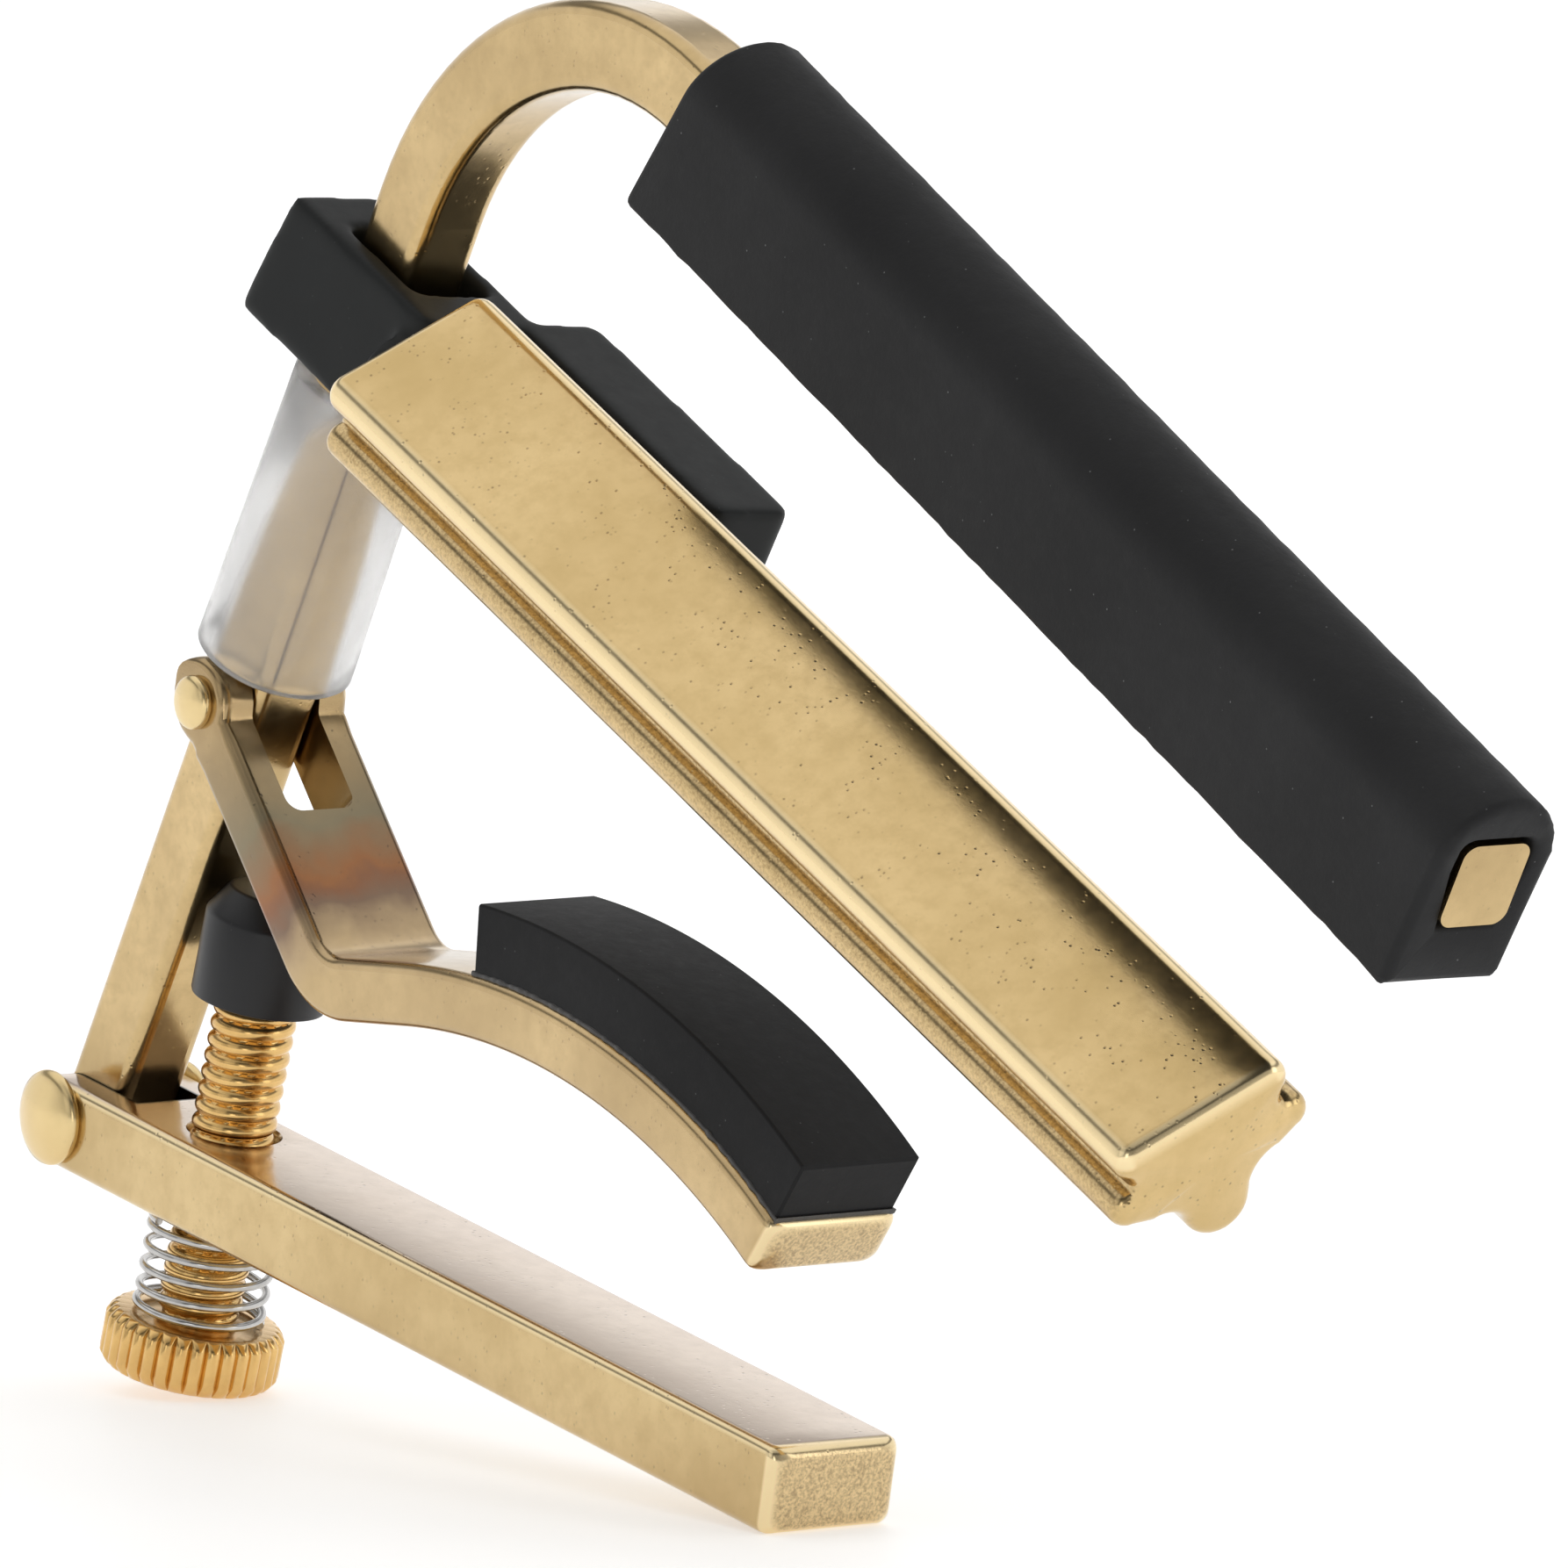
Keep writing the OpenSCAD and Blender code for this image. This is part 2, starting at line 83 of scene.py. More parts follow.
SCREW_AXIS = Vector(JOINTS["screw_turn"]["axis"]).normalized()
SCREW_X = (HANDLE.to_3x3() @ Vector((1, 0, 0))).normalized()
SCREW_X = (SCREW_X - SCREW_AXIS * SCREW_X.dot(SCREW_AXIS)).normalized()
SCREW = frame_matrix(
    Vector(JOINTS["screw_turn"]["pos_m"]), SCREW_X, SCREW_AXIS.cross(SCREW_X), SCREW_AXIS
)

BLOCK_Z = 24.85
BLOCK_LEAN = (-5, -1.15, 1.66)
CARRIAGE = (
    ARM
    @ Matrix.Translation((0, 0, BLOCK_Z))
    @ turn("Z", BLOCK_LEAN[2])
    @ turn("Y", BLOCK_LEAN[1])
    @ turn("X", BLOCK_LEAN[0])
)
BAR_START = Vector((7.9, -4.14, 0.15))
BAR_ROLL = 35.8
BAR = CARRIAGE @ Matrix.Translation(BAR_START) @ turn("X", BAR_ROLL)
BAR_LEN = 75.6
BAR_TOP = 4.4


# ---------------------------------------------------------------- mesh helpers
def mesh_object(name, points, faces, place, sharp=35):
    """A closed mesh from points in millimetres in the frame place, with faces turned outwards."""
    mesh = bpy.data.meshes.new(name)
    mesh.from_pydata([place @ Vector(p) for p in points], [], faces)
    bm = bmesh.new()
    bm.from_mesh(mesh)
    bmesh.ops.recalc_face_normals(bm, faces=bm.faces)
    bm.to_mesh(mesh)
    bm.free()
    mesh.polygons.foreach_set("use_smooth", [True] * len(mesh.polygons))
    mesh.set_sharp_from_angle(angle=math.radians(sharp))
    obj = bpy.data.objects.new(name, mesh)
    bpy.context.scene.collection.objects.link(obj)
    return obj


def loft(name, rings, place, cyclic=False, sharp=35):
    """Joins rings of equal length with quads. The ends are closed with a face unless cyclic."""
    count = len(rings[0])
    points = [p for ring in rings for p in ring]
    faces = []
    for i in range(len(rings) if cyclic else len(rings) - 1):
        a, b = i * count, (i + 1) % len(rings) * count
        for k in range(count):
            n = (k + 1) % count
            faces.append((a + k, a + n, b + n, b + k))
    if not cyclic:
        faces.append(tuple(range(count - 1, -1, -1)))
        faces.append(tuple(range(len(points) - count, len(points))))
    return mesh_object(name, points, faces, place, sharp)


def lathe(name, profile, place, steps=96, sharp=35):
    """Turns a closed profile of (radius, height) about the frame's Z. Points on the axis are shared."""
    rings = []
    for i in range(steps):
        a = 2 * math.pi * i / steps
        rings.append([(max(r, 0.001) * math.cos(a), max(r, 0.001) * math.sin(a), z) for r, z in profile])
    obj = loft(name, rings, place, cyclic=True, sharp=sharp)
    bm = bmesh.new()
    bm.from_mesh(obj.data)
    bmesh.ops.remove_doubles(bm, verts=bm.verts, dist=0.004 * MM)
    bm.to_mesh(obj.data)
    bm.free()
    return obj


def arc(centre, radius, a0, a1, steps):
    """Points on an arc in degrees, with both ends."""
    return [
        (
            centre[0] + radius * math.cos(math.radians(a0 + (a1 - a0) * i / steps)),
            centre[1] + radius * math.sin(math.radians(a0 + (a1 - a0) * i / steps)),
        )
        for i in range(steps + 1)
    ]


def rounded_rect(w, h, r, steps=7):
    """A rounded rectangle's outline, counter-clockwise."""
    r = min(r, w / 2 - 0.01, h / 2 - 0.01)
    out = []
    for sx, sy, a in ((1, 1, 0), (-1, 1, 90), (-1, -1, 180), (1, -1, 270)):
        out += arc((sx * (w / 2 - r), sy * (h / 2 - r)), r, a, a + 90, steps)
    return out


def cut(obj, cutter):
    """Takes the cutter away from obj."""
    mod = obj.modifiers.new("cut", "BOOLEAN")
    mod.operation = "DIFFERENCE"
    mod.solver = "EXACT"
    mod.object = cutter
    bpy.context.view_layer.update()
    done = bpy.data.meshes.new_from_object(obj.evaluated_get(bpy.context.evaluated_depsgraph_get()))
    obj.modifiers.clear()
    obj.data = done
    bpy.data.objects.remove(cutter)
    done.polygons.foreach_set("use_smooth", [True] * len(done.polygons))
    done.set_sharp_from_angle(angle=math.radians(35))


# ---------------------------------------------------------------- materials
class Nodes:
    """A short way to write a node tree."""

    def __init__(self, tree):
        self.tree = tree
        tree.nodes.clear()

    def add(self, kind, inputs=None, **settings):
        node = self.tree.nodes.new(kind)
        for key, value in settings.items():
            setattr(node, key, value)
        for key, value in (inputs or {}).items():
            self.put(node.inputs[key], value)
        return node

    def put(self, socket, value):
        if isinstance(value, bpy.types.NodeSocket):
            self.tree.links.new(value, socket)
        else:
            socket.default_value = value

    def math(self, operation, a, b=0.0):
        return self.add("ShaderNodeMath", {0: a, 1: b}, operation=operation).outputs[0]

    def ramp(self, value, *stops):
        node = self.add("ShaderNodeValToRGB", {"Fac": value})
        while len(node.color_ramp.elements) < len(stops):
            node.color_ramp.elements.new(0.5)
        for element, (at, colour) in zip(node.color_ramp.elements, stops):
            element.position = at
            element.color = colour if isinstance(colour, tuple) else (colour, colour, colour, 1)
        return node.outputs["Color"]

    def noise(self, vector, scale, detail=3.0, rough=0.5):
        node = self.add(
            "ShaderNodeTexNoise", {"Vector": vector, "Scale": scale, "Detail": detail, "Roughness": rough}
        )
        return node.outputs["Fac"]

    def mix(self, factor, a, b, blend="MIX"):
        node = self.add("ShaderNodeMix", data_type="RGBA", blend_type=blend)
        for socket, value in ((node.inputs[0], factor), (node.inputs[6], a), (node.inputs[7], b)):
            self.put(socket, value)
        return node.outputs[2]


def material(name):
    """A new material and its empty node tree."""
    mat = bpy.data.materials.new(name)
    mat.use_nodes = True
    return mat, Nodes(mat.node_tree)


def finish_material(mat, n, shader):
    """Links the shader to the material's output."""
    out = n.add("ShaderNodeOutputMaterial")
    n.tree.links.new(shader.outputs[0], out.inputs["Surface"])
    return mat


def brass(name, colour, dull, rough=0.2, pits=0.5, grain=0.3, coat=0.5, marks=None):
    """Polished cast brass: uneven tone, tiny casting pits, fine sanding marks, the given marks (painted
    highlights and painted shade among them) and a thin lacquer.
    """
    mat, n = material(name)
    where = n.add("ShaderNodeTexCoord").outputs["Object"]
    broad = n.noise(where, 90.0, 4.0, 0.6)
    fine = n.noise(where, 900.0, 5.0, 0.65)
    cells = n.add("ShaderNodeTexVoronoi", {"Vector": where, "Scale": 2100.0, "Randomness": 1.0})
    pit = n.ramp(cells.outputs["Distance"], (0.05, 1.0), (0.22, 0.0))
    patch = n.ramp(n.noise(where, 600.0, 3.0), (0.46, 0.0), (0.58, 1.0))
    pit = n.math("MULTIPLY", pit, patch)
    tone = n.mix(n.ramp(broad, (0.35, 0.0), (0.7, 1.0)), (*colour, 1), (*dull, 1))
    tone = n.mix(n.math("MULTIPLY", n.ramp(fine, (0.42, 0.0), (0.66, 1.0)), 0.4), tone, (*dull, 1))
    tone = n.mix(n.math("MULTIPLY", pit, 0.62 * pits), tone, (0.16, 0.1, 0.04, 1))
    if marks:
        tone = marks(n, where, tone)
    gloss = n.math("ADD", n.math("MULTIPLY", fine, 0.16), rough - 0.08)
    height = n.math("SUBTRACT", n.math("MULTIPLY", fine, grain), n.math("MULTIPLY", pit, pits))
    bump = n.add("ShaderNodeBump", {"Height": height, "Strength": 0.22, "Distance": 0.00008})
    shader = n.add(
        "ShaderNodeBsdfPrincipled",
        {
            "Base Color": tone,
            "Metallic": 1.0,
            "Roughness": gloss,
            "Normal": bump.outputs[0],
            "Coat Weight": coat,
            "Coat Roughness": 0.12,
        },
    )
    return finish_material(mat, n, shader)


def plastic(name, colour, rough, specks=0.0, bump_size=500.0, bump_depth=0.1, shine=0.3):
    """Matt plastic or rubber with a fine surface and optional pale dust."""
    mat, n = material(name)
    where = n.add("ShaderNodeTexCoord").outputs["Object"]
    fine = n.noise(where, bump_size, 6.0, 0.7)
    broad = n.noise(where, 60.0, 2.0)
    lighter = tuple(min(1.0, c * 1.5 + 0.004) for c in colour)
    tone = n.mix(n.ramp(broad, (0.3, 0.0), (0.75, 1.0)), (*colour, 1), (*lighter, 1))
    tone = n.mix(n.math("MULTIPLY", n.ramp(fine, (0.5, 0.0), (0.72, 1.0)), 0.3), tone, (*lighter, 1))
    if specks:
        cells = n.add("ShaderNodeTexVoronoi", {"Vector": where, "Scale": 1500.0, "Randomness": 1.0})
        dot = n.ramp(cells.outputs["Distance"], (0.0, 1.0), (0.1, 0.0))
        some = n.ramp(n.noise(where, 700.0, 1.0), (0.54, 0.0), (0.6, 1.0))
        tone = n.mix(n.math("MULTIPLY", n.math("MULTIPLY", dot, some), specks), tone, (0.3, 0.3, 0.3, 1))
    gloss = n.math("ADD", n.math("MULTIPLY", fine, 0.2), rough - 0.1)
    bump = n.add("ShaderNodeBump", {"Height": fine, "Strength": bump_depth, "Distance": 0.0001})
    shader = n.add(
        "ShaderNodeBsdfPrincipled",
        {
            "Base Color": tone,
            "Roughness": gloss,
            "Normal": bump.outputs[0],
            "Specular IOR Level": shine,
        },
    )
    return finish_material(mat, n, shader)


def in_frame(n, where, place, axis):
    """Millimetres along one axis of a frame, as a socket."""
    away = n.add("ShaderNodeVectorMath", {0: where, 1: tuple(place.translation)}, operation="SUBTRACT")
    way = (place.to_3x3() @ axis).normalized()
    dot = n.add("ShaderNodeVectorMath", {0: away.outputs[0], 1: tuple(way)}, operation="DOT_PRODUCT")
    return n.math("MULTIPLY", dot.outputs["Value"], 1000.0)


def above(n, value, start, full):
    """0 below start, 1 past full, and a straight rise between them."""
    node = n.add(
        "ShaderNodeMapRange", {"Value": value, "From Min": start, "From Max": full}, clamp=True
    )
    return node.outputs["Result"]


def sanded(n, where, tone, amount):
    """Sandy brown cast grain over the tone."""
    grain = n.ramp(n.noise(where, 5000.0, 3.0, 0.7), (0.34, 0.0), (0.6, 1.0))
    grain = n.mix(grain, (0.26, 0.17, 0.08, 1), (0.66, 0.49, 0.25, 1))
    return n.mix(amount, tone, grain)


def painted_highlight(n, tone, *masks):
    """A painted highlight in bright brass colour, where all the masks are 1: it stands for the light that
    rounded edges and corners catch.
    """
    amount = 0.75
    for mask in masks:
        amount = n.math("MULTIPLY", mask, amount)
    return n.mix(amount, tone, (0.95, 0.77, 0.45, 1))


def handle_marks(n, where, tone):
    """A polished top with a painted pinkish sheen, painted highlights on the edges and round the free end, a
    pitted free end and painted shade in the slot over its dark unpolished inside.
    """
    x, y, z = (in_frame(n, where, HANDLE, axis) for axis in (X, Y, Z))
    painted_sheen = n.mix(n.noise(where, 200.0, 3.0), (0.66, 0.55, 0.47, 1), (0.6, 0.47, 0.38, 1))
    # Painted sheen: the top face is tinted pale pink-silver, as grazing light on the lacquer would make it.
    tone = n.mix(n.math("MULTIPLY", above(n, z, 2.0, 2.14), 0.8), tone, painted_sheen)
    wide = n.math("ABSOLUTE", y)
    # Painted highlights along the long top edges, then round the free end.
    tone = painted_highlight(n, tone, above(n, wide, 3.7, 3.9), above(n, z, 1.6, 1.8), above(n, z, 2.14, 2.0))
    tone = painted_highlight(n, tone, above(n, x, HANDLE_LEN - 0.95, HANDLE_LEN - 0.75))
    tone = sanded(n, where, tone, n.math("MULTIPLY", above(n, x, HANDLE_LEN - 0.25, HANDLE_LEN - 0.05), 0.8))
    # Painted shade in the slot: near black, over its dark unpolished inside.
    slot_shade = n.math("MULTIPLY", above(n, wide, 2.4, 2.3), above(n, x, 5.1, 5.0))
    return n.mix(slot_shade, tone, (0.035, 0.022, 0.012, 1))


def arm_marks(n, where, tone):
    """Painted shade: the leg's inner face is darkened to near black where it stands in the handle's slot."""
    # Painted shade on the leg's foot inside the slot.
    foot = above(n, in_frame(n, where, ARM, Z), 2.6 - PIVOT_GAP, 1.4 - PIVOT_GAP)
    foot = n.math("MULTIPLY", foot, above(n, in_frame(n, where, ARM, X), 2.1, 2.4))
    return n.mix(foot, tone, (0.03, 0.018, 0.01, 1))


def lever_marks(n, where, tone):
    """Heat colours down the clamp lever's web, a painted highlight round the free end and cast grain on that
    end.
    """
    start, corner = Vector((2, 0, -1)), Vector((16.6, 0, -7.5))
    down_web = (corner - start).normalized()
    down = n.math("SUBTRACT", in_frame(n, where, ARM, down_web), start.dot(down_web))
    share = n.math("DIVIDE", down, (corner - start).length)
    wavy = n.math("ADD", share, n.math("MULTIPLY", n.math("SUBTRACT", n.noise(where, 260.0, 3.0), 0.5), 0.3))
    colour = n.ramp(
        wavy,
        (0.0, (0.26, 0.17, 0.08, 1)),
        (0.42, (0.18, 0.15, 0.09, 1)),
        (0.6, (0.28, 0.11, 0.035, 1)),
        (0.74, (0.14, 0.08, 0.06, 1)),
        (0.92, (0.45, 0.33, 0.2, 1)),
    )
    amount = n.ramp(wavy, (0.0, 0.55), (0.3, 0.85), (0.65, 1.0), (0.88, 0.6), (1.0, 0.2))
    tone = n.mix(amount, tone, colour)
    point, way = LEVER_PATH[-1]
    end = point.dot(way)
    reach = in_frame(n, where, ARM, way)
    # Painted highlight round the free end.
    tone = painted_highlight(n, tone, above(n, reach, end - 0.7, end - 0.5))
    return sanded(n, where, tone, n.math("MULTIPLY", above(n, reach, end - 0.2, end), 0.8))


def bar_marks(n, where, tone):
    """Cast grain on the bar below its polished top but not on its ends, and painted highlights along the
    top's long edges and round its ends.
    """
    depth = n.math("SUBTRACT", BAR_TOP, in_frame(n, where, BAR, Z))
    amount = n.ramp(
        n.math("MULTIPLY", depth, 0.1), (0.2, 0.0), (0.27, 0.8), (0.4, 0.35), (0.55, 0.7), (0.9, 0.3)
    )
    x = in_frame(n, where, BAR, X)
    wide = n.math("ABSOLUTE", in_frame(n, where, BAR, Y))
    # Painted highlights along the top's long edges, then round both ends.
    tone = painted_highlight(n, tone, above(n, wide, 4.3, 4.6), above(n, depth, 1.2, 0.9))
    from_middle = n.math("ABSOLUTE", n.math("SUBTRACT", x, BAR_LEN / 2))
    tone = painted_highlight(n, tone, above(n, from_middle, 36.9, 37.1), above(n, depth, 1.2, 0.4))
    inside = n.math("MULTIPLY", above(n, x, 0.3, 0.9), above(n, x, BAR_LEN - 0.3, BAR_LEN - 0.9))
    amount = n.math("MULTIPLY", amount, inside)
    return sanded(n, where, tone, amount)


def steel(name, rough):
    """Drawn steel wire, slightly uneven."""
    mat, n = material(name)
    where = n.add("ShaderNodeTexCoord").outputs["Object"]
    fine = n.noise(where, 1500.0, 4.0)
    tone = n.mix(fine, (0.4, 0.39, 0.38, 1), (0.68, 0.67, 0.65, 1))
    gloss = n.math("ADD", n.math("MULTIPLY", fine, 0.12), rough - 0.06)
    shader = n.add("ShaderNodeBsdfPrincipled", {"Base Color": tone, "Metallic": 1.0, "Roughness": gloss})
    return finish_material(mat, n, shader)


def milky_tube(name):
    """Clear plastic tube with a milky body and fine lengthwise marks."""
    mat, n = material(name)
    where = n.add("ShaderNodeTexCoord").outputs["Object"]
    fine = n.noise(where, 700.0, 4.0)
    gloss = n.math("ADD", n.math("MULTIPLY", fine, 0.2), 0.1)
    bump = n.add("ShaderNodeBump", {"Height": fine, "Strength": 0.02, "Distance": 0.0001})
    tone = n.mix(n.noise(where, 150.0), (0.97, 0.965, 0.96, 1), (0.9, 0.89, 0.88, 1))
    shader = n.add(
        "ShaderNodeBsdfPrincipled",
        {
            "Base Color": tone,
            "Roughness": gloss,
            "Transmission Weight": 0.86,
            "IOR": 1.33,
            "Normal": bump.outputs[0],
        },
    )
    return finish_material(mat, n, shader)


def dress(obj, look, slot, body, *nodes):
    """Gives a new piece its material and its body, and hides the CAD nodes that it stands for. The slot
    argument is not used.
    """
    obj.data.materials.clear()
    obj.data.materials.append(MATERIALS[look])
    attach(obj, body)
    if nodes:
        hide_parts(*nodes)


# ---------------------------------------------------------------- bars with rounded ends
def bar_ring(centre, up, w, t, r):
    """A rounded-rectangle ring: w is across the pivots and t is in the plane of the hook."""
    return [centre + Vector((0, 1, 0)) * a + up * b for a, b in rounded_rect(w, t, r)]


def end_rings(centre, along, up, w, t, r, round_w, round_t, depth, steps=6):
    """Rings that close a bar with a rounded end. The last one lies at centre."""
    rings = []
    for i in range(steps + 1):
        a = math.pi / 2 * i / steps
        inset = 1 - math.cos(a)
        back = depth * (1 - math.sin(a))
        rings.append(
            bar_ring(
                centre - along * back,
                up,
                w - 2 * round_w * inset,
                t - 2 * round_t * inset,
                r + 0.5 * inset,
            )
        )
    return rings


LEVER_W = 8.5


def spaced(a, b, count):
    """Evenly spaced numbers from a to b, with both ends."""
    return [a + (b - a) * i / (count - 1) for i in range(count)]


def build_handle():
    """The handle: a bar with a round pivot end, a soft free end, a slot for the leg and the screw's hole."""
    thick, drop, slot_end, slot_half = 4.87, 0.28, 4.9, 2.2
    r = thick / 2
    rings = []
    for x in [-r * math.cos(math.radians(a)) for a in range(8, 90, 9)]:
        half = (r ** 3 - abs(x) ** 3) ** (1 / 3)
        rings.append(bar_ring(X * x - Z * drop, Z, LEVER_W - 0.3, 2 * half, min(0.55, half * 0.6)))
    for x in spaced(0.4, HANDLE_LEN - 1.0, 40):
        rings.append(bar_ring(X * x - Z * drop, Z, LEVER_W, thick, 0.6))
    rings += end_rings(X * HANDLE_LEN - Z * drop, X, Z, LEVER_W, thick, 0.6, 0.95, 0.75, 0.9)[1:]
    obj = loft("handle_bar", rings, HANDLE)
    corners = ((-slot_half, -6), (slot_half, -6), (slot_half, 6), (-slot_half, 6))
    cut(obj, loft("slot_cutter", [[Vector((x, y, z)) for y, z in corners] for x in (-6, slot_end)], HANDLE))
    hole = [(0, -9), (2.43, -9), (2.43, 1.72), (2.8, 2.4), (0, 2.4)]
    cut(obj, lathe("hole_cutter", hole, SCREW, 48))
    dress(obj, "handle_brass", "brass", "handle", "handle_lever")


def lever_path():
    """The clamp lever's centre line: (point, direction) from the pivot to the free end."""
    web_a, rise_a = math.radians(23.2), math.radians(32)
    web_len, rise_len, bend_r, curve_r, span = 18.1, 7.9, 4.5, 48.2, 41.5
    web = Vector((math.cos(web_a), 0, -math.sin(web_a)))
    rise = Vector((math.cos(rise_a), 0, math.sin(rise_a)))
    start = Vector((0, 0, -0.4))
    corner = start + web * web_len
    tangent = bend_r * math.tan((web_a + rise_a) / 2)
    path = [(start + web * s, web) for s in spaced(3.2, web_len - tangent, 12)]
    centre = corner + rise * tangent + bend_r * Vector((-math.sin(rise_a), 0, math.cos(rise_a)))
    for a in spaced(-math.pi / 2 - web_a, -math.pi / 2 + rise_a, 15)[1:]:
        out = Vector((math.cos(a), 0, math.sin(a)))
        path.append((centre + out * bend_r, Vector((-math.sin(a), 0, math.cos(a)))))
    path += [(corner + rise * s, rise) for s in spaced(tangent, rise_len, 5)[1:-1]]
    curve_start = corner + rise * rise_len
    centre = curve_start + curve_r * Vector((math.sin(rise_a), 0, -math.cos(rise_a)))
    a1 = math.pi / 2 + rise_a
    for a in spaced(a1, a1 - math.radians(span), 40):
        out = Vector((math.cos(a), 0, math.sin(a)))
        path.append((centre + out * curve_r, Vector((math.sin(a), 0, -math.cos(a)))))
    return web, path, centre, a1


WEB, LEVER_PATH, CURVE_C, CURVE_A1 = lever_path()
LEVER_T = 3.5
CURVE_R = 48.2


def build_lever():
    """The clamp lever: a round eye, a forked web, a bend and the long curve under the pad."""
    rings = []
    up = Vector((-WEB.z, 0, WEB.x))
    eye = 2.5
    for x in [-eye * math.cos(math.radians(a)) for a in range(8, 90, 9)] + [0.3, 0.9, 1.5, 2.0, 2.3]:
        round_half = math.sqrt(max(eye * eye - x * x, 0))
        top = max(round_half, 1.38 if x > 0 else 0)
        low = max(round_half, 2.12 if x > 0 else 0)
        centre = WEB * x + up * (top - low) / 2
        rings.append(bar_ring(centre, up, LEVER_W, top + low, min(0.7, 0.5 * round_half)))
    for point, along in LEVER_PATH[:-1]:
        rings.append(bar_ring(point, Vector((-along.z, 0, along.x)), LEVER_W, LEVER_T, 0.65))
    point, along = LEVER_PATH[-1]
    up = Vector((-along.z, 0, along.x))
    rings += end_rings(point, along, up, LEVER_W, LEVER_T, 0.65, 0.9, 0.6, 0.7)[1:]
    obj = loft("clamp_bar", rings, ARM)
    fork_end, fork_start, fork_w = 8.1, -12, 4.45
    middle = WEB * (fork_start + fork_end) / 2
    up = Vector((-WEB.z, 0, WEB.x))
    outline = rounded_rect(fork_end - fork_start, fork_w, 0.9)
    cutter = [[middle + WEB * a + Y * b + up * h for a, b in outline] for h in (-9, 9)]
    cut(obj, loft("fork_cutter", cutter, ARM))
    dress(obj, "lever_brass", "brass", "clamp_lever", "clamp_lever")


def curve_ring(angle, inner, outer, w, r):
    """A ring across the lever's curve between two radii."""
    out = Vector((math.cos(angle), 0, math.sin(angle)))
    return bar_ring(CURVE_C + out * (inner + outer) / 2, out, w, outer - inner, r)


def build_pad():
    """The rubber pad, with cut ends and sharp but worn edges, on an uneven film of adhesive."""
    a1, a0 = CURVE_A1 - math.radians(7.5), CURVE_A1 - math.radians(41.5 - 0.6)
    base = CURVE_R + LEVER_T / 2
    worn = 0.12 / CURVE_R
    rings = [curve_ring(a1, base + 0.26, base + 3.72, 7.5, 0.1)]
    rings += [curve_ring(a, base + 0.1, base + 3.9, 7.8, 0.18) for a in spaced(a1 - worn, a0 + worn, 60)]
    rings.append(curve_ring(a0, base + 0.26, base + 3.72, 7.5, 0.1))
    pad = loft("clamp_pad", rings, ARM)
    dress(pad, "pad_rubber", "rubber", "clamp_lever", "lever_pad")
    film = []
    for i, a in enumerate(spaced(a1 + 0.004, a0 - 0.002, 160)):
        wave = noise.noise(Vector((i * 0.31, 3.1, 0))) * 0.22 + noise.noise(Vector((i * 1.3, 9.7, 0))) * 0.08
        film.append(curve_ring(a, base - 0.1, base + 0.24 + 0.4 * wave, 7.86 + wave, 0.12))
    glue = loft("pad_glue", film, ARM)
    dress(glue, "adhesive", "adhesive", "clamp_lever", "pad_adhesive")


# ---------------------------------------------------------------- string bar
def bar_outline():
    """Half of the bar's section from the top middle to the foot's middle, then mirrored. x across, y up."""
    half = [(0.0, 0.0), (2.2, 0.0)]
    half += arc((4.1, -1.2), 1.2, 90, 0, 8)
    half += arc((4.15, -1.25), 1.13, -5, -50, 4)
    half += arc((5.0, -2.62), 0.3, 140, 225, 4)
    half += arc((5.0, -4.15), 1.1, 98, -80, 11)
    half += [(4.6, -5.5)]
    half += arc((3.95, -7.72), 1.97, 88, 172, 10)
    half += arc((0, -7.35), 1.94, -14, -84, 8)
    half.append((0.0, -9.3))
    mirrored = [(-x, y) for x, y in reversed(half[1:-1])]
    return [Vector((x, y, 0)) for x, y in half + mirrored]


def inset_outline(outline, amount):
    """Moves each point of a clockwise outline inwards along its own normal."""
    out = []
    count = len(outline)
    for i, p in enumerate(outline):
        d = outline[(i + 1) % count] - outline[i - 1]
        d.normalize()
        out.append(p + Vector((d.y, -d.x, 0)) * amount)
    return out


def build_string_bar():
    """The fluted bar, with a low dome and a rounded edge on each end."""
    soft, steps = 0.85, 7
    outline = bar_outline()
    middle = Vector((0, -4.0, 0))
    end = [(0.0, soft, 0.35), (0.05, soft, 0.7)]
    for i in range(steps, -1, -1):
        a = math.pi / 2 * i / steps
        end.append((soft * (1 - math.sin(a)) + 0.16, soft * (1 - math.cos(a)), 1.0))

    def ring(x, inset, scale):
        flat = [middle + (p - middle) * scale for p in inset_outline(outline, inset)]
        return [Vector((x, p.x, p.y + BAR_TOP)) for p in flat]

    rings = [ring(*step) for step in end]
    rings += [ring(x, 0, 1) for x in spaced(1.6, BAR_LEN - 1.6, 60)]
    rings += [ring(BAR_LEN - x, inset, scale) for x, inset, scale in reversed(end)]
    obj = loft("string_bar_body", rings, BAR, sharp=50)
    dress(obj, "bar_brass", "bar_brass", "string_bar", "string_bar")


